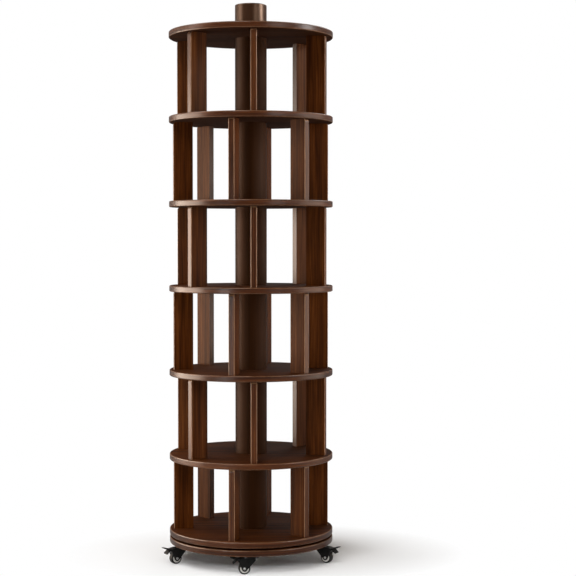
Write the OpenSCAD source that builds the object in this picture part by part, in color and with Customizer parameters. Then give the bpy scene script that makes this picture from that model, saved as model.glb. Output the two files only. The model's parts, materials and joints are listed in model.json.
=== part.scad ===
// Revolving bookcase: a tower of six open tiers on round boards, which turns on a ring
// turntable above a round base on five swivel casters with brakes.
// The origin is on the floor under the turning axis. +Z is up and the front faces -Y.
// Angles around the axis start at the front and grow toward +X. Sizes are in millimetres.

/* [Boards] */
// Diameter of every round board
board_d = 600; // [570:1:660]
// Thickness of every round board
board_t = 22; // [20:0.5:28]
// Radius of a board's rounded rim
rim_r = 4; // [1:0.5:8]

/* [Tiers] */
// Clear height of the bottom tier
low_clear = 254; // [180:1:340]
// Clear height of each tier above the bottom one
upper_clear = 286; // [180:1:340]

/* [Dividers] */
// Thickness of a divider
divider_t = 22; // [16:0.5:28]
// Depth of a divider along the radius
divider_depth = 71; // [50:1:120]
// Distance from the rim to the outer end of a divider
divider_setback = 15; // [8:1:30]
// Radius of the upright edges at the outer end of a divider
divider_edge_r = 3; // [1:0.5:6]
// Radius of the outer top corner of a divider
divider_corner_r = 10; // [3:1:25]
// Angle of the widest of the three bays that make up half a tier
wide_bay = 70; // [60:1:78]
// Angle of the middle one of these three bays
middle_bay = 58; // [50:1:62]
// Angle of the first divider in the bottom, third and fifth tiers
odd_turn = -14; // [-18:1:-10]
// Angle of the first divider in the second, fourth and top tiers
even_turn = 2; // [-2:1:6]

/* [Dowels] */
// Diameter of a dowel
dowel_d = 8; // [6:0.5:10]
// Depth of a dowel's bore in a board
dowel_in_board = 9; // [6:0.5:9.5]
// Depth of a dowel's bore in a divider
dowel_in_divider = 16; // [10:1:30]
// Distance from either end of a divider to its nearest dowel
dowel_inset = 18; // [12:1:24]
// Bevel on the ends of a dowel
dowel_bevel = 1; // [0.5:0.25:2]

/* [Column] */
// Outer diameter of the column and of the post above the top board
column_d = 116; // [104:1:130]
// Wall of the column tubes
column_wall = 2.5; // [1.5:0.5:5]
// Depth of the ring groove in a board that seats the end of a tube
groove = 4; // [2:0.5:6]
// Height of the post above the top board, with its cap
post_h = 100; // [75:1:140]
// Height of the cap's rim, which shows above the post's tube
cap_rim = 11; // [6:0.5:14]
// Radius of the cap's rounded top edge
cap_r = 4; // [1:0.5:5]
// Bevel at the seam between the cap and the post
cap_seam = 0.8; // [0.4:0.1:1.5]
// Depth of the cap's spigot inside the post
cap_spigot = 14; // [8:1:20]
// Wall of the cap
cap_wall = 3; // [2:0.5:4]

/* [Axle] */
// Outer diameter of the fixed axle that the tower turns on
axle_d = 30; // [24:1:36]
// Wall of the axle tube
axle_wall = 4; // [2.5:0.5:6]
// Diameter of the flange that fastens the axle to the base
flange_d = 120; // [100:1:180]
// Thickness of the flange
flange_t = 4; // [3:0.5:5]
// Distance from the flange's edge to its screws
flange_screw_inset = 12; // [8:1:16]
// Wall of the bushes in the bottom board and the top board
bush_wall = 5; // [3:0.5:8]
// Width of a bush's rim
bush_rim = 7; // [4:0.5:10]
// Thickness of a bush's rim
bush_rim_t = 3; // [2:0.5:5]
// Room around the axle in the shelf boards
axle_room = 6; // [3:0.5:10]
// Width of the washer above the top bush
washer_w = 12; // [8:1:16]
// Thickness of the washer
washer_t = 3; // [2:0.5:5]
// Size of the lock nut across its flats
nut_flats = 46; // [42:1:60]
// Height of the lock nut
nut_h = 14; // [8:1:16]
// Length of the axle's end above the lock nut
axle_end = 8; // [2:1:12]

/* [Turntable] */
// Outer diameter of the two races
race_d = 300; // [260:1:360]
// Width of a race
race_w = 32; // [28:1:44]
// Thickness of a race
race_t = 2.5; // [2.5:0.25:4]
// Space between the two races
race_space = 2; // [1.6:0.1:2.6]
// Diameter of a ball
ball_d = 4; // [3.5:0.25:5]
// Number of balls
ball_count = 36; // [12:1:60]
// Width of the cage that spaces the balls
cage_w = 12; // [8:0.5:14]
// Distance from a race's outer edge to its screws
race_screw_inset = 6; // [5:0.5:8]
// Number of screws in each race
race_screws = 6; // [3:1:12]

/* [Screws] */
// Shank diameter of the countersunk screws
screw_d = 3.5; // [3:0.25:4]
// Head diameter of the countersunk screws
screw_head_d = 7; // [6:0.25:8]
// Length of the countersunk screws
screw_l = 14; // [10:1:18]
// Shank diameter of the caster screws
caster_screw_d = 4.2; // [3.5:0.1:5]
// Head diameter of the caster screws
caster_screw_head_d = 8.4; // [7:0.1:9]
// Head height of the caster screws
caster_screw_head_h = 2.4; // [1.5:0.1:2.6]
// Length of the caster screws
caster_screw_l = 16; // [10:1:20]

/* [Casters] */
// Radius of the circle that the casters swivel on
caster_r = 267; // [240:1:268]
// Height of a caster
caster_h = 66; // [61:0.5:80]
// Heading of the front caster's wheel
front_heading = -85; // [-180:1:180]
// Angle that the two wheels beside it turn from outward towards the front
side_turn = 12; // [-30:1:40]
// Distance from the swivel axis to the wheel's axle
trail = 24.5; // [14:0.5:26]
// Diameter of a wheel
wheel_d = 42; // [38:0.5:44]
// Width of a wheel
wheel_w = 22; // [14:0.5:24]
// Thickness of the tyre
tyre_t = 5.5; // [3:0.5:7]
// Radius of the tyre's edges
tyre_r = 4; // [1:0.5:5]
// Width of the hub's rim, which shows as a ring
hub_rim = 4; // [2:0.5:5]
// Depth of the hub's recess on each side
hub_recess = 4; // [2:0.5:5]
// Diameter of the wheel's axle
wheel_axle_d = 6; // [5:0.5:8]
// Diameter of the heads of the wheel's axle
axle_head_d = 9; // [8:0.5:12]
// Height of the heads of the wheel's axle
axle_head_h = 2; // [1.5:0.25:3]
// Thickness of the fork's sheet
fork_t = 2.5; // [2:0.25:4]
// Gap between the wheel and each leg of the fork
fork_side = 1; // [0.5:0.25:2]
// Radius of the leg's end around the wheel's axle
leg_end_r = 9.5; // [8:0.5:11]
// Diameter of the fork's round crown
crown_d = 34; // [30:1:40]
// Width of the square top plate
plate_w = 54; // [50:1:60]
// Thickness of the top plate
plate_t = 2.5; // [2:0.25:4]
// Radius of the top plate's corners
plate_r = 7; // [3:0.5:9]
// Distance between the top plate's holes
plate_holes = 40; // [39:0.5:44]
// Diameter of the dome under the top plate
dome_d = 30; // [26:1:34]
// Height of the dome under the top plate
dome_h = 4; // [3:0.5:6]
// Diameter of the king pin
pin_d = 8; // [6:0.5:10]
// Diameter of the king pin's head
pin_head_d = 15; // [12:0.5:18]
// Height of the king pin's head
pin_head_h = 2.5; // [2:0.25:3]

/* [Brake levers] */
// Distance of the lever's pivot outward from the wheel's axle
lever_out = 16; // [12:0.5:17]
// Height of the lever's pivot above the wheel's axle
lever_up = 30; // [26:0.5:30]
// Radius of the fork around the lever's pivot
lever_boss_r = 6; // [5:0.5:7]
// Diameter of the lever's pivot
lever_pin_d = 5; // [4:0.5:6]
// Width of the lever's pads
lever_w = 26; // [18:1:30]
// Distance of the arms' root outward from the pivot
root_out = 9; // [8:0.5:11]
// Height of the arms' root above the pivot
root_up = 3; // [0:0.5:4]
// Length of the upper arm from its root
upper_arm_l = 27; // [22:1:29]
// Angle of the upper arm above the horizontal
upper_arm_a = 18; // [10:1:20]
// Length of the lower arm from its root
lower_arm_l = 22; // [18:1:28]
// Angle of the lower arm under the horizontal
lower_arm_a = 42; // [18:1:50]
// Thickness of an arm at its root
arm_root_t = 5.5; // [4:0.25:7]
// Thickness of an arm at its tip
arm_tip_t = 3; // [2:0.25:4]
// Radius of the pads' corners
pad_r = 5; // [2:0.5:7]
// Number of grip ribs on the upper pad
grip_ribs = 3; // [1:1:4]
// Pitch of the grip ribs
grip_pitch = 4; // [3:0.5:5]
// Angle that the lever turns through to brake the wheel
brake_swing = 18; // [12:1:20]

/* [Fits] */
// Gap all round a piece that turns in a bore
run_gap = 0.05; // [0.03:0.01:0.09]
// Gap all round a piece seated in a bore or a groove
seat_gap = 0.1; // [0.05:0.05:0.2]
// Gap between two faces that move past each other
slide_gap = 0.4; // [0.3:0.05:0.5]

/* [Hidden] */
$fn = 64;
BOARD_FN = 180;
TIERS = 6;
CASTERS = 5;
EPS = 0.5;

function numbered(name, count) = [for (i = [1 : count]) str(name, "_", i)];

WALNUT = "#6b3f22";
BRONZE = "#4b3427";
BEECH = "#cfa878";
STEEL = "#b9bcbf";
NYLON = "#e8e2d2";
BLACK = "#1d1c1b";
RUBBER = "#2a2927";
RING_GREY = "#b5b2ad";

// Heights from the floor up. Board 0 is the bottom board and board TIERS the top board.
base_z = caster_h;
race_z = base_z + board_t;
turn_gap = 2 * race_t + race_space;
ball_z = race_z + turn_gap / 2;
function clear_of(tier) = tier == 1 ? low_clear : upper_clear;
function board_z(i) = i == 0 ? race_z + turn_gap : board_z(i - 1) + board_t + clear_of(i);
function floor_z(tier) = board_z(tier - 1) + board_t;
top_z = board_z(TIERS) + board_t;

// Dividers
divider_out = board_d / 2 - divider_setback;
divider_in = divider_out - divider_depth;
function is_odd(tier) = tier % 2 == 1;
function half_turn(tier) = is_odd(tier)
    ? [0, middle_bay, 180 - wide_bay]
    : [0, wide_bay, wide_bay + middle_bay];
function first_angle(tier) = is_odd(tier) ? odd_turn : even_turn;
function divider_angles(tier) = [
    for (half = [0, 180], a = half_turn(tier)) first_angle(tier) + half + a
];
dowel_l = dowel_in_board + dowel_in_divider - 2 * EPS;

// Axle and what guides it
bush_d = axle_d + 2 * run_gap + 2 * bush_wall;
washer_z = top_z + bush_rim_t + slide_gap;
nut_z = washer_z + washer_t;
axle_top = nut_z + nut_h + axle_end;

// Turntable
track_r = (race_d - race_w) / 2;
cage_t = race_space - 2 * slide_gap;
race_screw_r = race_d / 2 - race_screw_inset;
flange_screw_r = flange_d / 2 - flange_screw_inset;

// Casters. The wheel trails along +X of the caster's own frame.
function caster_angle(i) = 360 / CASTERS * (i - 1);
function side_of(i) = i == 2 ? -1 : i == CASTERS ? 1 : 0;
function heading(i) = i == 1 ? front_heading : caster_angle(i) + side_of(i) * side_turn;
axle_z = wheel_d / 2;
hub_r = wheel_d / 2 - tyre_t;
hub_w = wheel_w - 1;
fork_gap = wheel_w + 2 * fork_side;
fork_w = fork_gap + 2 * fork_t;
plate_z = base_z - plate_t;
dome_z = plate_z - dome_h;
crown_z = dome_z - slide_gap - fork_t;
crown_top = crown_z + fork_t;
leg_corner_r = 6;
lever_hub_r = 4.5;
lever_rise = min(lever_up, crown_z - lever_hub_r - 1 - axle_z);
lever_x = trail + lever_out;
lever_z = axle_z + lever_rise;
lever_root_w = fork_gap - 2 * slide_gap;
pad_x = arm_root_t + EPS;
shoe_tip_r = 1.5;
pivot_to_axle = norm([lever_out, lever_rise]);
shoe_reach = pivot_to_axle - wheel_d / 2 - slide_gap;
shoe_a = atan2(-lever_rise, -lever_out) + brake_swing;
function arm_half(l, x) = (arm_root_t - (arm_root_t - arm_tip_t) * x / (l - arm_tip_t / 2)) / 2;

// Places its children at an angle and a radius around the turning axis
module at_angle(a, r) {
    rotate([0, 0, a - 90])
        translate([r, 0, 0])
            children();
}

// Places its children at a number of equal steps around the turning axis
module around(count, r, start = 0) {
    for (i = [0 : count - 1])
        at_angle(start + 360 / count * i, r)
            children();
}

module at_swivel(i) {
    at_angle(caster_angle(i), caster_r)
        rotate([0, 0, heading(i) - caster_angle(i)])
            children();
}

module at_dowels(tier) {
    for (a = divider_angles(tier), r = [divider_in + dowel_inset, divider_out - dowel_inset])
        at_angle(a, r)
            children();
}

// A flat ring
module ring(d_out, d_in, h) {
    difference() {
        cylinder(d = d_out, h = h);
        translate([0, 0, -EPS])
            cylinder(d = d_in, h = h + 2 * EPS);
    }
}

// A rectangle from the origin with its two outer corners on +X rounded
module rounded_end(w, h, r) {
    square([w - r, h]);
    translate([0, r])
        square([w, h - 2 * r]);
    for (y = [r, h - r])
        translate([w - r, y])
            circle(r = r);
}

// A square about the origin with rounded corners
module rounded_square(w, r) {
    square([w - 2 * r, w], center = true);
    square([w, w - 2 * r], center = true);
    for (x = [-1, 1], y = [-1, 1])
        translate([x * (w / 2 - r), y * (w / 2 - r)])
            circle(r = r);
}

// A countersunk screw whose head lies flush at z = 0 and whose shank points down
module countersunk_screw(gap = 0) {
    head_h = (screw_head_d - screw_d) / 2;
    translate([0, 0, -head_h])
        cylinder(d1 = screw_d + 2 * gap, d2 = screw_head_d + 2 * gap, h = head_h);
    translate([0, 0, -screw_l - gap])
        cylinder(d = screw_d + 2 * gap, h = screw_l - head_h + 2 * gap);
}

// A caster screw whose head bears on z = 0 from below and whose shank points up
module caster_screw() {
    difference() {
        union() {
            translate([0, 0, -caster_screw_head_h])
                cylinder(d1 = caster_screw_head_d - 1.5, d2 = caster_screw_head_d, h = 0.8);
            translate([0, 0, 0.8 - caster_screw_head_h])
                cylinder(d = caster_screw_head_d, h = caster_screw_head_h - 0.8);
            cylinder(d = caster_screw_d, h = caster_screw_l - 2);
            translate([0, 0, caster_screw_l - 2])
                cylinder(d1 = caster_screw_d, d2 = 1, h = 2);
        }
        for (turn = [0, 90])
            rotate([0, 0, turn])
                translate([-2.2, -0.5, -caster_screw_head_h - EPS])
                    cube([4.4, 1, 1.3 + EPS]);
    }
}

// Boards
module board_blank() {
    rotate_extrude($fn = BOARD_FN)
        rounded_end(board_d / 2, board_t, rim_r);
}

// The ring groove that seats a tube's end, open at z = 0 and cut downward
module tube_groove() {
    translate([0, 0, -groove])
        ring(column_d + 2 * seat_gap, column_d - 2 * column_wall - 2 * seat_gap, groove + EPS);
}

// Board i with its bore and its grooves and dowel bores for the tiers under and over it
module tower_board(i, bore_d, has_top_groove = true) {
    difference() {
        translate([0, 0, board_z(i)])
            board_blank();
        translate([0, 0, board_z(i) - EPS])
            cylinder(d = bore_d, h = board_t + 2 * EPS);
        if (has_top_groove)
            translate([0, 0, board_z(i) + board_t])
                tube_groove();
        if (i < TIERS)
            at_dowels(i + 1)
                translate([0, 0, board_z(i) + board_t - dowel_in_board])
                    cylinder(d = dowel_d + 2 * seat_gap, h = dowel_in_board + EPS);
        if (i > 0) {
            translate([0, 0, board_z(i)])
                mirror([0, 0, 1])
                    tube_groove();
            at_dowels(i)
                translate([0, 0, board_z(i) - EPS])
                    cylinder(d = dowel_d + 2 * seat_gap, h = dowel_in_board + EPS);
        }
    }
}

module base_board() {
    color(WALNUT)
        difference() {
            translate([0, 0, base_z])
                board_blank();
            translate([0, 0, race_z])
                base_screw_places(true);
            caster_screw_places()
                translate([0, 0, base_z - EPS])
                    cylinder(d = caster_screw_d + 2 * seat_gap, h = caster_screw_l - plate_t + 2 * EPS);
        }
}

module bottom_board() {
    color(WALNUT)
        difference() {
            tower_board(0, bush_d + 2 * seat_gap);
            upper_race_screw_places(seat_gap);
        }
}

module shelf_board(i) {
    color(WALNUT)
        tower_board(i, axle_d + 2 * axle_room);
}

module top_board() {
    color(WALNUT)
        tower_board(TIERS, bush_d + 2 * seat_gap);
}

// One upright divider, with its depth along +X and its foot at z = 0
module divider(h) {
    difference() {
        intersection() {
            translate([divider_in, -divider_t / 2, 0])
                linear_extrude(height = h)
                    rounded_end(divider_depth, divider_t, divider_edge_r);
            translate([divider_in, divider_t, 0])
                rotate([90, 0, 0])
                    linear_extrude(height = 2 * divider_t)
                        divider_side(h);
        }
        for (r = [divider_in + dowel_inset, divider_out - dowel_inset])
            for (z = [-EPS, h - dowel_in_divider])
                translate([r, 0, z])
                    cylinder(d = dowel_d + 2 * seat_gap, h = dowel_in_divider + EPS);
    }
}

module divider_side(h) {
    square([divider_depth, h - divider_corner_r]);
    square([divider_depth - divider_corner_r, h]);
    translate([divider_depth - divider_corner_r, h - divider_corner_r])
        circle(r = divider_corner_r);
}

module dividers_tier(tier) {
    color(WALNUT)
        for (a = divider_angles(tier))
            at_angle(a, 0)
                translate([0, 0, floor_z(tier)])
                    divider(clear_of(tier));
}

module dowel() {
    cylinder(d1 = dowel_d - 2 * dowel_bevel, d2 = dowel_d, h = dowel_bevel);
    translate([0, 0, dowel_bevel])
        cylinder(d = dowel_d, h = dowel_l - 2 * dowel_bevel);
    translate([0, 0, dowel_l - dowel_bevel])
        cylinder(d1 = dowel_d, d2 = dowel_d - 2 * dowel_bevel, h = dowel_bevel);
}

module divider_dowels() {
    color(BEECH)
        for (tier = [1 : TIERS])
            at_dowels(tier) {
                translate([0, 0, floor_z(tier) - dowel_in_board + EPS])
                    dowel();
                translate([0, 0, board_z(tier) - dowel_in_divider + EPS])
                    dowel();
            }
}

// Column and post
module column_tube(tier) {
    color(BRONZE)
        translate([0, 0, floor_z(tier) - groove])
            ring(column_d, column_d - 2 * column_wall, clear_of(tier) + 2 * groove);
}

module top_post() {
    color(BRONZE)
        translate([0, 0, top_z - groove])
            ring(column_d, column_d - 2 * column_wall, post_h - cap_rim + groove);
}

module top_cap() {
    spigot_r = column_d / 2 - column_wall - seat_gap;
    color(BRONZE)
        translate([0, 0, top_z + post_h - cap_rim])
            rotate_extrude($fn = BOARD_FN)
                difference() {
                    union() {
                        translate([0, cap_seam])
                            square([column_d / 2, cap_rim - cap_seam - cap_r]);
                        square([column_d / 2 - cap_seam, cap_rim - cap_r]);
                        square([column_d / 2 - cap_r, cap_rim]);
                        translate([column_d / 2 - cap_r, cap_rim - cap_r])
                            circle(r = cap_r);
                        translate([0, -cap_spigot])
                            square([spigot_r, cap_spigot + EPS]);
                    }
                    translate([-EPS, -cap_spigot - EPS])
                        square([spigot_r - cap_wall + EPS, cap_spigot + cap_rim - cap_wall + EPS]);
                    translate([-column_d, -column_d])
                        square([column_d, 2 * column_d]);
                }
}

// Axle, bushes and the nut that holds the tower down
module central_axle() {
    color(STEEL)
        difference() {
            union() {
                translate([0, 0, race_z])
                    cylinder(d = flange_d, h = flange_t);
                translate([0, 0, race_z])
                    cylinder(d = axle_d, h = axle_top - race_z);
            }
            translate([0, 0, race_z - EPS])
                cylinder(d = axle_d - 2 * axle_wall, h = axle_top - race_z + 2 * EPS);
            around(4, flange_screw_r, 45)
                translate([0, 0, race_z + flange_t])
                    countersunk_screw(seat_gap);
        }
}

module axle_bush() {
    difference() {
        union() {
            translate([0, 0, -board_t])
                cylinder(d = bush_d, h = board_t);
            cylinder(d = bush_d + 2 * bush_rim, h = bush_rim_t);
        }
        translate([0, 0, -board_t - EPS])
            cylinder(d = axle_d + 2 * run_gap, h = board_t + bush_rim_t + 2 * EPS);
    }
}

module axle_bushes() {
    color(NYLON)
        for (z = [floor_z(1), top_z])
            translate([0, 0, z])
                axle_bush();
}

module axle_washer() {
    color(STEEL)
        translate([0, 0, washer_z])
            ring(axle_d + 2 * washer_w, axle_d + 2 * seat_gap, washer_t);
}

module axle_nut() {
    color(STEEL)
        translate([0, 0, nut_z])
            difference() {
                cylinder(d = nut_flats / cos(30), h = nut_h, $fn = 6);
                translate([0, 0, -EPS])
                    cylinder(d = axle_d + 2 * seat_gap, h = nut_h + 2 * EPS);
            }
}

// Turntable. A race has its face at z = 0 and a groove for the balls in that face.
module race() {
    difference() {
        translate([0, 0, -race_t])
            ring(race_d, race_d - 2 * race_w, race_t);
        rotate_extrude($fn = BOARD_FN)
            translate([track_r, race_space / 2])
                circle(d = ball_d + 2 * run_gap);
        around(race_screws, race_screw_r)
            countersunk_screw(seat_gap);
    }
}

module lower_race() {
    color(STEEL)
        translate([0, 0, race_z + race_t])
            race();
}

module upper_race() {
    color(STEEL)
        translate([0, 0, board_z(0) - race_t])
            mirror([0, 0, 1])
                race();
}

// The screws of the lower race and of the axle's flange, or the bores that they need
module base_screw_places(bores = false) {
    gap = bores ? seat_gap : 0;
    around(race_screws, race_screw_r)
        translate([0, 0, race_t])
            countersunk_screw(gap);
    around(4, flange_screw_r, 45)
        translate([0, 0, flange_t])
            countersunk_screw(gap);
}

module base_screws() {
    color(STEEL)
        translate([0, 0, race_z])
            base_screw_places();
}

module upper_race_screw_places(gap) {
    translate([0, 0, board_z(0) - race_t])
        mirror([0, 0, 1])
            around(race_screws, race_screw_r)
                countersunk_screw(gap);
}

module upper_race_screws() {
    color(STEEL)
        upper_race_screw_places(0);
}

module ball_cage() {
    color(NYLON)
        translate([0, 0, ball_z - cage_t / 2])
            difference() {
                ring(2 * track_r + cage_w, 2 * track_r - cage_w, cage_t);
                around(ball_count, track_r)
                    translate([0, 0, -EPS])
                        cylinder(d = ball_d + 2 * seat_gap, h = cage_t + 2 * EPS);
            }
}

module race_balls() {
    color(STEEL)
        around(ball_count, track_r)
            translate([0, 0, ball_z])
                sphere(d = ball_d);
}

// Casters
module caster_screw_places() {
    around(CASTERS, caster_r)
        for (x = [-1, 1], y = [-1, 1])
            translate([x * plate_holes / 2, y * plate_holes / 2, 0])
                children();
}

module caster_screws() {
    color(STEEL)
        caster_screw_places()
            translate([0, 0, plate_z])
                caster_screw();
}

// The top plate with its pressed dome and the riveted king pin
module caster_plate() {
    difference() {
        union() {
            translate([0, 0, plate_z])
                linear_extrude(height = plate_t)
                    rounded_square(plate_w, plate_r);
            translate([0, 0, dome_z])
                cylinder(d1 = dome_d, d2 = dome_d + 2, h = dome_h + plate_t / 2);
            translate([0, 0, crown_z - slide_gap - pin_head_h / 2])
                cylinder(d = pin_d, h = dome_z - crown_z + slide_gap + pin_head_h);
            translate([0, 0, crown_z - slide_gap - pin_head_h])
                cylinder(d = pin_head_d, h = pin_head_h);
        }
        for (x = [-1, 1], y = [-1, 1])
            translate([x * plate_holes / 2, y * plate_holes / 2, plate_z - EPS])
                cylinder(d = caster_screw_d + 2 * seat_gap, h = plate_t + 2 * EPS);
    }
}

module caster_plates() {
    color(BLACK)
        around(CASTERS, caster_r)
            caster_plate();
}

// The side view of a leg, from the crown down to the wheel's axle and out to the lever's pivot
module fork_outline() {
    hull() {
        for (x = [leg_corner_r - crown_d / 2 + 2, trail + 5])
            translate([x, crown_top - leg_corner_r])
                circle(r = leg_corner_r, $fn = 32);
        translate([lever_x, lever_z])
            circle(r = lever_boss_r, $fn = 32);
        translate([trail, axle_z])
            circle(r = leg_end_r, $fn = 32);
    }
}

module caster_fork(i) {
    color(BLACK)
        at_swivel(i)
            difference() {
                union() {
                    rotate([90, 0, 0])
                        linear_extrude(height = fork_w, center = true)
                            fork_outline();
                    translate([0, 0, crown_z])
                        cylinder(d = crown_d, h = fork_t);
                }
                translate([-crown_d, -fork_gap / 2, 0])
                    cube([3 * crown_d, fork_gap, crown_z]);
                translate([0, 0, crown_z - EPS])
                    cylinder(d = pin_d + 2 * run_gap, h = fork_t + 2 * EPS);
                translate([trail, 0, axle_z])
                    rotate([90, 0, 0])
                        cylinder(d = wheel_axle_d + 2 * run_gap, h = fork_w + 2 * EPS, center = true);
                translate([lever_x, 0, lever_z])
                    rotate([90, 0, 0])
                        cylinder(d = lever_pin_d + 2 * run_gap, h = fork_w + 2 * EPS, center = true);
            }
}

module at_wheel(i) {
    at_swivel(i)
        translate([trail, 0, axle_z])
            rotate([90, 0, 0])
                children();
}

module wheel_axle(i) {
    color(STEEL)
        at_wheel(i) {
            cylinder(d = wheel_axle_d, h = fork_w, center = true);
            for (side = [0, 1])
                mirror([0, 0, side])
                    translate([0, 0, fork_w / 2]) {
                        cylinder(d = axle_head_d, h = axle_head_h / 2);
                        translate([0, 0, axle_head_h / 2])
                            cylinder(d1 = axle_head_d, d2 = axle_head_d - 3, h = axle_head_h / 2);
                    }
        }
}

module wheel_hub(i) {
    boss_d = wheel_axle_d + 7;
    color(RING_GREY)
        at_wheel(i)
            difference() {
                cylinder(r = hub_r, h = hub_w, center = true);
                for (side = [0, 1])
                    mirror([0, 0, side])
                        translate([0, 0, hub_w / 2 - hub_recess])
                            ring(2 * (hub_r - hub_rim), boss_d, hub_recess + EPS);
                cylinder(d = wheel_axle_d + 2 * run_gap, h = wheel_w, center = true);
            }
}

module wheel_tyre(i) {
    color(RUBBER)
        at_wheel(i)
            translate([0, 0, -wheel_w / 2])
                difference() {
                    rotate_extrude()
                        rounded_end(wheel_d / 2, wheel_w, tyre_r);
                    translate([0, 0, -EPS])
                        cylinder(r = hub_r, h = wheel_w + 2 * EPS);
                }
}

// One tapered arm of a lever, seen from the side, along +X from its root
module arm_side(l, root_t, tip_t) {
    polygon([
        [0, -root_t / 2],
        [l - tip_t / 2, -tip_t / 2],
        [l - tip_t / 2, tip_t / 2],
        [0, root_t / 2]
    ]);
    translate([l - tip_t / 2, 0])
        circle(d = tip_t);
}

// The plan of an arm: its root in the lever's core and its wider pad
module arm_plan(l) {
    root_w = lever_root_w - 2 * EPS;
    translate([0, -root_w / 2])
        square([pad_x + EPS, root_w]);
    translate([pad_x, -lever_w / 2])
        rounded_end(l + EPS - pad_x, lever_w, pad_r);
}

// The web that joins the pivot, the brake shoe and the root of both arms
module lever_core() {
    linear_extrude(height = lever_root_w, center = true)
        hull() {
            circle(r = lever_hub_r, $fn = 32);
            rotate(shoe_a)
                translate([shoe_reach - shoe_tip_r, 0])
                    circle(r = shoe_tip_r, $fn = 32);
            translate([root_out, root_up])
                circle(d = arm_root_t + 2 * EPS, $fn = 32);
        }
}

// An arm of a brake lever, raised by an angle
module lever_arm(l, a) {
    rotate([0, -a, 0])
        intersection() {
            rotate([90, 0, 0])
                linear_extrude(height = lever_w, center = true)
                    arm_side(l, arm_root_t, arm_tip_t);
            translate([0, 0, -arm_root_t])
                linear_extrude(height = 2 * arm_root_t)
                    arm_plan(l);
        }
}

module brake_lever(i) {
    color(BLACK)
        at_swivel(i)
            translate([lever_x, 0, lever_z]) {
                rotate([90, 0, 0]) {
                    lever_core();
                    cylinder(d = lever_pin_d, h = fork_w, center = true);
                }
                translate([root_out, 0, root_up]) {
                    lever_arm(upper_arm_l, upper_arm_a);
                    lever_arm(lower_arm_l, -lower_arm_a);
                    rotate([0, -upper_arm_a, 0])
                        for (x = [for (k = [1 : grip_ribs]) upper_arm_l - pad_r - grip_pitch * (k - 0.5)])
                            translate([x, 0, arm_half(upper_arm_l, x)])
                                rotate([90, 0, 0])
                                    cylinder(d = 1.6, h = lever_w - 4, center = true);
                }
            }
}

base_board();
caster_plates();
caster_screws();
central_axle();
lower_race();
base_screws();
axle_washer();
axle_nut();
ball_cage();
race_balls();
upper_race();
upper_race_screws();
axle_bushes();
bottom_board();
top_board();
top_post();
top_cap();
divider_dowels();
for (i = [1 : TIERS - 1])
    shelf_board(i);
for (i = [1 : TIERS]) {
    column_tube(i);
    dividers_tier(i);
}
for (i = [1 : CASTERS]) {
    caster_fork(i);
    wheel_axle(i);
    wheel_hub(i);
    wheel_tyre(i);
    brake_lever(i);
}
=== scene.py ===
"""Dresses the revolving bookcase: materials, floor, light and camera."""
import json
import math

import bpy
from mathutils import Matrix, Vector


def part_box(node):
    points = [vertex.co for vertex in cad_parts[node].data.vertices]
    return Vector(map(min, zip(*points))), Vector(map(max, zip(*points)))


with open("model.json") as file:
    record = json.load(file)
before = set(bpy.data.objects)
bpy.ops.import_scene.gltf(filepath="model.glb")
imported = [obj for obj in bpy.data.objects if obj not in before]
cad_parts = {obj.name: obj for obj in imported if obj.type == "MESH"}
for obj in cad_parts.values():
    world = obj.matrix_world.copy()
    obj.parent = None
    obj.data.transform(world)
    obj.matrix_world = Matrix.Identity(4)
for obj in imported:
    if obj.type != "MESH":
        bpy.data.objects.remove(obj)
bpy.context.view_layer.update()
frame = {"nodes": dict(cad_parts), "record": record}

nodes = frame["nodes"]

# Sizes in metres that the materials need
BOARDS = [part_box(name) for name in nodes
          if name.endswith("_board") or name.startswith("shelf_board")]
BOARD_RADIUS = (BOARDS[0][1].x - BOARDS[0][0].x) / 2
BOARD_THICKNESS = BOARDS[0][1].z - BOARDS[0][0].z
ARRIS_RADIUS = 0.004

# Shared by the materials, the world and the lamps
WHITE = (1.0, 1.0, 1.0)
UNIT = (0.0, 1.0)


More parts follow.
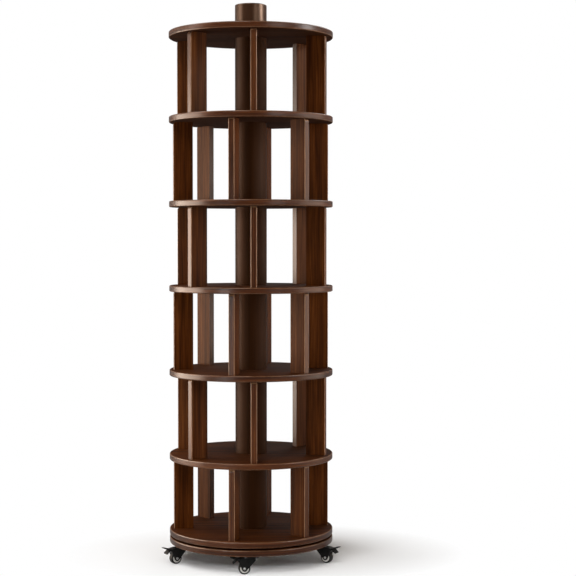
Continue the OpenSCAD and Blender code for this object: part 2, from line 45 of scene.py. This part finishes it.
class Graph:
    """The node tree of a material or world, built with short calls that return sockets."""

    def __init__(self, owner):
        owner.use_nodes = True
        self.owner = owner
        self.tree = owner.node_tree
        coordinates = self.add("TexCoord").outputs
        self.place = coordinates["Object"]
        self.normal = coordinates["Normal"]
        self.direction = coordinates["Generated"]

    def add(self, kind, inputs=None, **settings):
        node = self.tree.nodes.new("ShaderNode" + kind)
        for key, value in settings.items():
            setattr(node, key, value)
        for key, value in (inputs or {}).items():
            self.feed(node.inputs[key], value)
        return node

    def feed(self, socket, value):
        if isinstance(value, bpy.types.NodeSocket):
            self.tree.links.new(value, socket)
        else:
            socket.default_value = value

    def math(self, operation, *values, clamp=False):
        inputs = dict(enumerate(values))
        return self.add("Math", inputs, operation=operation, use_clamp=clamp).outputs[0]

    def vector(self, operation, *values):
        node = self.add("VectorMath", dict(enumerate(values)), operation=operation)
        return node.outputs["Value" if operation in ("DOT_PRODUCT", "LENGTH") else "Vector"]

    def parts(self, vector):
        return self.add("SeparateXYZ", {0: vector}).outputs[:]

    def point(self, x, y, z):
        return self.add("CombineXYZ", {0: x, 1: y, 2: z}).outputs[0]

    def noise(self, vector, scale, detail=3.0, roughness=0.5):
        inputs = {"Vector": self.vector("MULTIPLY", vector, scale), "Scale": 1.0,
                  "Detail": detail, "Roughness": roughness}
        return self.add("TexNoise", inputs).outputs["Fac"]

    def remap(self, value, span, to_low=0.0, to_high=1.0):
        inputs = {0: value, 1: span[0], 2: span[1], 3: to_low, 4: to_high}
        return self.add("MapRange", inputs).outputs[0]

    def ramp(self, value, stops):
        node = self.add("ValToRGB", {0: value})
        elements = node.color_ramp.elements
        while len(elements) < len(stops):
            elements.new(1.0)
        for element, (position, color) in zip(elements, stops):
            element.position = position
            element.color = (*color, 1.0)
        return node.outputs["Color"]

    def mix(self, factor, first, second):
        node = self.add("Mix", data_type="RGBA")
        self.feed(node.inputs[0], factor)
        for socket, value in ((node.inputs[6], first), (node.inputs[7], second)):
            is_socket = isinstance(value, bpy.types.NodeSocket)
            self.feed(socket, value if is_socket else (*value, 1.0))
        return node.outputs[2]

    def bump(self, height, strength, distance):
        inputs = {"Height": height, "Strength": strength, "Distance": distance}
        self.finish(Normal=self.add("Bump", inputs).outputs[0])

    def finish(self, **sockets):
        shader = self.tree.nodes["Principled BSDF"]
        for name, value in sockets.items():
            self.feed(shader.inputs[name.replace("_", " ")], value)
        return self.owner


# Where a board or a divider has grain, edges painted lighter (a painted highlight, partly wear) and
# lacquer
FACE_UP = 0.7
RIM_GRAIN_DEPTH = 0.3
BOARD_EDGE_LEAN = (0.10, 0.45)
DIVIDER_EDGE_LEAN = (0.18, 0.45)
BOARD_LACQUER_UP = (0.6, 0.95)
DIVIDER_LACQUER_OUTWARD = (0.25, 0.6)
LACQUER = 0.6


def upright_grain(g):
    """Grain that runs up the dividers."""
    x, y, z = g.parts(g.place)
    return g.point(z, x, y)


def board_up(g):
    """The upward share of a board's normal, from the height in the board."""
    z = g.parts(g.place)[2]
    off_middle = 1.0
    for low, high in BOARDS:
        off_board = g.math("ABSOLUTE", g.math("SUBTRACT", z, (low.z + high.z) / 2))
        off_middle = g.math("MINIMUM", off_middle, off_board)
    half = BOARD_THICKNESS / 2
    size = g.remap(off_middle, (half - ARRIS_RADIUS, half))
    return g.math("MULTIPLY", size, g.math("SIGN", g.parts(g.normal)[2]))


def divider_up(g):
    """The upward share of a divider's normal."""
    return g.parts(g.normal)[2]


def board_grain(g):
    """Grain that runs straight across a board's faces and round its rim."""
    x, y, z = g.parts(g.place)
    face = g.math("GREATER_THAN", g.math("ABSOLUTE", board_up(g)), FACE_UP)
    rim = g.math("SUBTRACT", 1.0, face)
    angle = g.math("ARCTAN2", x, g.math("MULTIPLY", y, -1.0))
    around = g.math("MULTIPLY", angle, BOARD_RADIUS)
    on_face = g.vector("MULTIPLY", g.place, g.point(face, face, face))
    on_rim = g.vector("MULTIPLY", g.point(around, z, RIM_GRAIN_DEPTH), g.point(rim, rim, rim))
    return g.vector("ADD", on_face, on_rim)


def lean(g, share):
    """How far a normal leans away from two flat faces, from its share along one of them."""
    across = g.math("SQRT", g.math("SUBTRACT", 1.0, g.math("MULTIPLY", share, share)))
    return g.math("MULTIPLY", share, across)


def board_edge_highlight(g):
    """1 along a board's rounded arrises, where the normal leans; this places the painted highlight.
    """
    return g.remap(lean(g, g.math("ABSOLUTE", board_up(g))), BOARD_EDGE_LEAN)


def board_lacquer(g):
    """Weight of the gloss lacquer on a board's rim and most of its arrises, 0 on its faces."""
    return g.remap(g.math("ABSOLUTE", board_up(g)), BOARD_LACQUER_UP, LACQUER, 0.0)


def divider_outward(g):
    """The share of a divider's normal that points away from the turning axis, or towards it."""
    x, y, _ = g.parts(g.place)
    flat = g.vector("NORMALIZE", g.point(x, y, 0.0))
    return g.math("ABSOLUTE", g.vector("DOT_PRODUCT", flat, g.normal))


def divider_edge_highlight(g):
    """1 along the rounded upright edges at a divider's ends; this places the painted highlight."""
    return g.remap(lean(g, divider_outward(g)), DIVIDER_EDGE_LEAN)


def divider_lacquer(g):
    """Weight of the gloss lacquer on a divider's ends and their edges, 0 on its sides."""
    return g.remap(divider_outward(g), DIVIDER_LACQUER_OUTWARD, 0.0, LACQUER)


# Walnut: linear colours, then scales of noise per metre along the grain and across it
WALNUT_DARK = (0.0188, 0.0043, 0.0008)
WALNUT_MID = (0.050, 0.0119, 0.0018)
WALNUT_LIGHT = (0.084, 0.0219, 0.0035)
WALNUT_PALE = (0.130, 0.0394, 0.0080)
# Pale arris colour: a painted highlight from the side lights, partly wear
WALNUT_EDGE_HIGHLIGHT_AND_WEAR = (0.525, 0.2880, 0.1560)
WALNUT_TONES = [(0.36, WALNUT_DARK), (0.48, WALNUT_MID), (0.57, WALNUT_LIGHT), (0.68, WALNUT_PALE)]
WALNUT_GLOSS = (1.0, 0.66, 0.42, 1.0)
WALNUT_SPECULAR = 0.075
WALNUT_ROUGHNESS = (0.42, 0.54)
LACQUER_ROUGHNESS = 0.30
WANDER_SCALE = (2.2, 14.0, 14.0)
BAND_SCALE = (1.4, 46.0, 46.0)
STREAK_SCALE = (4.5, 210.0, 210.0)
PORE_SCALE = (22.0, 1100.0, 1100.0)
HIGHLIGHT_AND_WEAR_SCALE = (30.0, 30.0, 30.0)
NOISE_MIDDLE = 0.5
WANDER_REACH = 0.016
TONE_SHARE = 0.5
STREAK_SPAN = (0.3, 0.7)
PORE_SPAN = (0.58, 0.70)
HIGHLIGHT_AND_WEAR_SPAN = (0.35, 0.65)
PORE_DARKENING = 0.55
PORE_ROUGHENING = 0.12
PORE_DEPTH = 0.4
UNDERSIDE_SPAN = (-0.9, -0.6)
# How far the undersides are darkened: painted shade
UNDERSIDE_PAINTED_SHADE = 0.55
UNDERSIDE_ROUGHENING = 0.38
TOP_SPAN = (0.6, 0.9)
TOP_ROUGHENING = 0.2
GRAIN_BUMP = {"strength": 0.22, "distance": 0.0006}


def walnut(name, grain, edge_highlight, rise, lacquer, highlight_and_wear_range, lift):
    """Satin lacquered walnut with streaks and pores, a pale painted highlight along the arrises
    that is partly wear, and painted shade on the undersides.
    """
    g = Graph(bpy.data.materials.new(name))
    along = grain(g)
    wander = g.noise(along, WANDER_SCALE, detail=2.0)
    shift = g.math("MULTIPLY", g.math("SUBTRACT", wander, NOISE_MIDDLE), WANDER_REACH)
    bent = g.vector("ADD", along, g.point(0.0, shift, shift))
    band = g.noise(bent, BAND_SCALE, detail=4.0, roughness=0.55)
    streak = g.noise(bent, STREAK_SCALE, detail=4.0, roughness=0.6)
    pores = g.remap(g.noise(bent, PORE_SCALE, detail=2.0), PORE_SPAN)
    up = rise(g)
    under = g.remap(up, UNDERSIDE_SPAN, 1.0, 0.0)

    tone = g.math("MULTIPLY_ADD", band, TONE_SHARE, lift)
    tone = g.math("MULTIPLY_ADD", streak, TONE_SHARE, tone)
    color = g.ramp(tone, WALNUT_TONES)
    color = g.mix(g.math("MULTIPLY", pores, PORE_DARKENING), color, WALNUT_DARK)
    # Arrises mixed towards the pale colour: a painted highlight, partly wear, varied at random
    highlight_and_wear_amount = g.remap(g.noise(g.place, HIGHLIGHT_AND_WEAR_SCALE), HIGHLIGHT_AND_WEAR_SPAN, *highlight_and_wear_range)
    color = g.mix(g.math("MULTIPLY", edge_highlight(g), highlight_and_wear_amount), color, WALNUT_EDGE_HIGHLIGHT_AND_WEAR)
    # Undersides mixed towards the darkest walnut: painted shade
    color = g.mix(g.math("MULTIPLY", under, UNDERSIDE_PAINTED_SHADE), color, WALNUT_DARK)

    rough = g.remap(streak, STREAK_SPAN, *WALNUT_ROUGHNESS)
    rough = g.math("MULTIPLY_ADD", pores, PORE_ROUGHENING, rough)
    rough = g.math("MULTIPLY_ADD", under, UNDERSIDE_ROUGHENING, rough, clamp=True)
    top = g.remap(up, TOP_SPAN)
    rough = g.math("MULTIPLY_ADD", top, TOP_ROUGHENING, rough, clamp=True)

    g.bump(g.math("SUBTRACT", tone, g.math("MULTIPLY", pores, PORE_DEPTH)), **GRAIN_BUMP)
    g.finish(Coat_Weight=lacquer(g), Coat_Roughness=LACQUER_ROUGHNESS)
    return g.finish(Base_Color=color, Roughness=rough,
                    Specular_IOR_Level=WALNUT_SPECULAR, Specular_Tint=WALNUT_GLOSS)


# Metal, plastic, rubber and bare beech
BRONZE = (0.0325, 0.0093, 0.0018)
BRONZE_DARK = (0.0238, 0.0065, 0.0013)
BRONZE_GLOSS = (1.0, 0.63, 0.42, 1.0)
BLACK = (0.0038, 0.0036, 0.0035)
BLACK_WORN = (0.0100, 0.0095, 0.0090)
BLACK_SPECULAR = 0.175
RUBBER = (0.0075, 0.0073, 0.0070)
RUBBER_WORN = (0.0150, 0.0145, 0.0140)
RUBBER_SPECULAR = 0.19
HUB = (0.77, 0.76, 0.72)
HUB_DULL = (0.65, 0.64, 0.60)
STEEL = (0.70, 0.70, 0.69)
STEEL_DULL = (0.45, 0.45, 0.45)
NYLON = (0.74, 0.70, 0.60)
NYLON_DULL = (0.66, 0.61, 0.50)
BEECH = (0.60, 0.40, 0.22)
BEECH_DARK = (0.50, 0.32, 0.17)

BLOT_SIZE = 12
BLOT_SPAN = (0.35, 0.65)
BLOT_SHARE = 0.5
SPECKLE_BUMP = {"strength": 0.12, "distance": 0.0004}
TUBE_STREAK_SCALE = (150.0, 150.0, 3.0)
TUBE_SCUFF_SCALE = (7.0, 7.0, 5.0)
TUBE_PEEL_SCALE = (260.0, 260.0, 260.0)
TUBE_SCUFF_SPAN = (0.35, 0.7)
TUBE_BUMP = {"strength": 0.01, "distance": 0.00003}


def speckled(name, first, second, scale, rough, **sockets):
    """A surface that varies gently between two colours, with a fine bump."""
    g = Graph(bpy.data.materials.new(name))
    blot = g.noise(g.place, (scale / BLOT_SIZE,) * 3, detail=4.0)
    grit = g.noise(g.place, (scale,) * 3)
    g.bump(grit, **SPECKLE_BUMP)
    both = g.math("MULTIPLY_ADD", blot, BLOT_SHARE, g.math("MULTIPLY", grit, BLOT_SHARE))
    return g.finish(Base_Color=g.mix(g.remap(blot, BLOT_SPAN), first, second),
                    Roughness=g.remap(both, BLOT_SPAN, *rough), **sockets)


def satin_tube(name, rough, gloss):
    """Smooth dark bronze paint, faintly streaked up the tube and duller where it was handled."""
    g = Graph(bpy.data.materials.new(name))
    streak = g.noise(g.place, TUBE_STREAK_SCALE)
    scuff = g.noise(g.place, TUBE_SCUFF_SCALE)
    g.bump(g.noise(g.place, TUBE_PEEL_SCALE, detail=1.0), **TUBE_BUMP)
    return g.finish(Base_Color=g.mix(g.remap(streak, STREAK_SPAN), BRONZE, BRONZE_DARK),
                    Roughness=g.remap(scuff, TUBE_SCUFF_SPAN, *rough),
                    Specular_IOR_Level=gloss, Specular_Tint=BRONZE_GLOSS)


walnut_upright = walnut("walnut_upright", upright_grain, divider_edge_highlight, divider_up,
                        divider_lacquer, highlight_and_wear_range=(0.38, 0.58), lift=0.02)
walnut_board = walnut("walnut_board", board_grain, board_edge_highlight, board_up,
                      board_lacquer, highlight_and_wear_range=(0.10, 0.26), lift=-0.02)
bronze = satin_tube("bronze_satin", rough=(0.33, 0.38), gloss=0.78)
bronze_inner = satin_tube("bronze_matt", rough=(0.46, 0.56), gloss=0.125)
black_steel = speckled("black_powder_coat", BLACK, BLACK_WORN, scale=2600.0,
                       rough=(0.34, 0.48), Specular_IOR_Level=BLACK_SPECULAR)
black_plastic = speckled("black_moulded_plastic", BLACK, BLACK_WORN, scale=3200.0,
                         rough=(0.30, 0.44), Specular_IOR_Level=BLACK_SPECULAR)
rubber = speckled("tyre_rubber", RUBBER, RUBBER_WORN, scale=2400.0,
                  rough=(0.5, 0.7), Specular_IOR_Level=RUBBER_SPECULAR)
hub_grey = speckled("hub_grey_plastic", HUB, HUB_DULL, scale=2000.0, rough=(0.38, 0.5))
steel = speckled("zinc_plated_steel", STEEL, STEEL_DULL, scale=1600.0,
                 rough=(0.28, 0.42), Metallic=1.0)
nylon = speckled("natural_nylon", NYLON, NYLON_DULL, scale=1500.0, rough=(0.45, 0.6))
beech = speckled("bare_beech", BEECH, BEECH_DARK, scale=800.0, rough=(0.5, 0.65))

SLOT_MATERIAL = {
    "walnut": walnut_board,
    "bronze_paint": bronze,
    "beech": beech,
    "steel": steel,
    "nylon": nylon,
    "black_steel": black_steel,
    "black_plastic": black_plastic,
    "tyre_black": rubber,
    "hub_grey": hub_grey,
}
for subpart in frame["record"]["subparts"]:
    name = subpart["node"]
    material = SLOT_MATERIAL[subpart["material_slot"]]
    if name.startswith("dividers_tier"):
        material = walnut_upright
    if name.startswith("column_tube"):
        material = bronze_inner
    mesh = nodes[name].data
    mesh.materials.clear()
    mesh.materials.append(material)


# Floor and world
FLOOR_SIZE = 60.0
FLOOR_FADE = (0.32, 0.75)
FLOOR_COLOR = (0.975, 0.970, 0.963)
FLOOR_ROUGHNESS = 0.9
SHADOW_MIDDLE = (0.05, 0.10, 0.0)
SHADOW_STRETCH = (1.0, 1.4, 0.0)
SHADE_TINT = (1.0, 0.80, 0.62)
AMBIENT = 0.104
GLOSS_WHITE = 0.25
GLOSS_DIM = 0.032
GLOSS_TURN = (-0.1, 0.7)


def add_floor():
    """A pale floor that keeps the shadow near the object and fades to white further off."""
    mesh = bpy.data.meshes.new("floor")
    half = FLOOR_SIZE / 2
    corners = [(-half, -half, 0), (half, -half, 0), (half, half, 0), (-half, half, 0)]
    mesh.from_pydata(corners, [], [(0, 1, 2, 3)])
    floor = bpy.data.objects.new("floor", mesh)
    bpy.context.scene.collection.objects.link(floor)
    g = Graph(bpy.data.materials.new("floor"))
    g.finish(Base_Color=(*FLOOR_COLOR, 1.0), Roughness=FLOOR_ROUGHNESS, Specular_IOR_Level=0.0)
    path = g.add("LightPath").outputs
    strength = g.remap(path["Is Glossy Ray"], UNIT, 1.0, GLOSS_WHITE)
    white = g.add("Emission", {"Color": (*WHITE, 1.0), "Strength": strength})
    seen = g.math("MAXIMUM", path["Is Camera Ray"], path["Is Glossy Ray"])
    seen = g.math("MAXIMUM", seen, path["Is Transmission Ray"])
    off_shadow = g.vector("SUBTRACT", g.place, SHADOW_MIDDLE)
    off_shadow = g.vector("MULTIPLY", off_shadow, SHADOW_STRETCH)
    far = g.remap(g.vector("LENGTH", off_shadow), FLOOR_FADE)
    shader = g.tree.nodes["Principled BSDF"]
    mixed = g.add("MixShader", {0: g.math("MULTIPLY", seen, far),
                                1: shader.outputs[0], 2: white.outputs[0]})
    g.feed(g.tree.nodes["Material Output"].inputs["Surface"], mixed.outputs[0])
    mesh.materials.append(g.owner)


def add_world():
    """White to the camera, dimmer in gloss, most so towards the front, and soft light elsewhere."""
    g = Graph(bpy.data.worlds.new("studio"))
    bpy.context.scene.world = g.owner
    path = g.add("LightPath").outputs
    to_back = g.parts(g.direction)[1]
    gloss = g.remap(to_back, GLOSS_TURN, GLOSS_DIM, GLOSS_WHITE)
    clear = g.math("MAXIMUM", path["Is Camera Ray"], path["Is Transmission Ray"])
    seen = g.math("MAXIMUM", clear, path["Is Glossy Ray"])
    shine = g.remap(path["Is Glossy Ray"], UNIT, AMBIENT, gloss)
    background = g.tree.nodes["Background"].inputs
    g.feed(background["Color"], g.mix(seen, SHADE_TINT, WHITE))
    g.feed(background["Strength"], g.remap(clear, UNIT, shine, 1.0))


# Lamps and camera
SHEEN_COLOR = (1.0, 0.84, 0.70)
SENSOR_WIDTH = 36.0


def add_light(name, place, target, size, power,
              spread=180.0, diffuse=True, glossy=True, color=WHITE):
    """A rectangular soft light that faces a target, with its beam's width in degrees."""
    lamp = bpy.data.lights.new(name, "AREA")
    lamp.shape = "RECTANGLE"
    lamp.size, lamp.size_y = size
    lamp.energy = power
    lamp.color = color
    lamp.spread = math.radians(spread)
    light = bpy.data.objects.new(name, lamp)
    bpy.context.scene.collection.objects.link(light)
    light.location = place
    light.visible_diffuse = diffuse
    light.visible_glossy = glossy
    facing = Vector(target) - Vector(place)
    light.rotation_euler = facing.to_track_quat("-Z", "Y").to_euler()


def add_camera(place, lens, yaw, pitch):
    """A camera at a place, turned right by yaw and down by pitch, in degrees."""
    data = bpy.data.cameras.new("camera")
    data.sensor_width = SENSOR_WIDTH
    data.lens = lens
    camera = bpy.data.objects.new("camera", data)
    bpy.context.scene.collection.objects.link(camera)
    camera.location = place
    camera.rotation_euler = (math.radians(90.0 - pitch), 0.0, math.radians(-yaw))
    bpy.context.scene.camera = camera


add_floor()
add_world()

# Lamps that light colour and gloss alike
add_light("key", place=(-1.8, -4.4, 6.5), target=(0.0, 0.0, 1.0), size=(3.2, 3.2), power=272.0)
add_light("fill", place=(2.6, -3.6, 2.2), target=(0.0, 0.0, 0.7), size=(1.6, 2.4), power=33.6)
add_light("back", place=(-2.4, 0.35, 4.3), target=(0.0, 0.0, 0.4), size=(2.0, 2.0), power=73.6)
add_light("rear", place=(1.8, 4.4, 4.6), target=(0.0, 0.0, 1.0), size=(2.6, 2.6), power=70.0)
add_light("low", place=(-2.4, -3.3, 0.8), target=(0.0, 0.0, 0.1), size=(1.0, 0.5), power=2.4,
          spread=50.0)

# Lamps at the sides that light only the colour
add_light("left_strip", place=(-3.0, 0.0, 1.2), target=(0.0, 0.0, 1.2), size=(1.4, 2.1), power=6.5,
          spread=70.0, glossy=False)
add_light("right_strip", place=(3.0, -0.45, 1.6), target=(0.0, 0.0, 1.6), size=(1.2, 2.1),
          power=13.0, spread=60.0, glossy=False)

# Lamps at the sides that show only in gloss, on the lacquer below and on the post above
add_light("left_sheen", place=(-3.0, 0.3, 1.05), target=(0.0, 0.0, 1.05), size=(3.0, 1.9),
          power=210.0, diffuse=False, color=SHEEN_COLOR)
add_light("right_sheen", place=(3.0, 0.2, 1.05), target=(0.0, 0.0, 1.05), size=(2.4, 1.9),
          power=33.0, diffuse=False, color=SHEEN_COLOR)
add_light("left_top_sheen", place=(-3.0, -0.4, 2.8), target=(0.0, 0.0, 2.0), size=(1.0, 0.9),
          power=13.0, diffuse=False)
add_light("right_top_sheen", place=(3.0, -0.45, 2.8), target=(0.0, 0.0, 2.0), size=(0.8, 0.9),
          power=58.0, diffuse=False)

add_camera(place=(0.0, -5.41, 1.183), lens=91.9, yaw=1.44, pitch=1.956)
bpy.context.scene.view_settings.view_transform = "Standard"
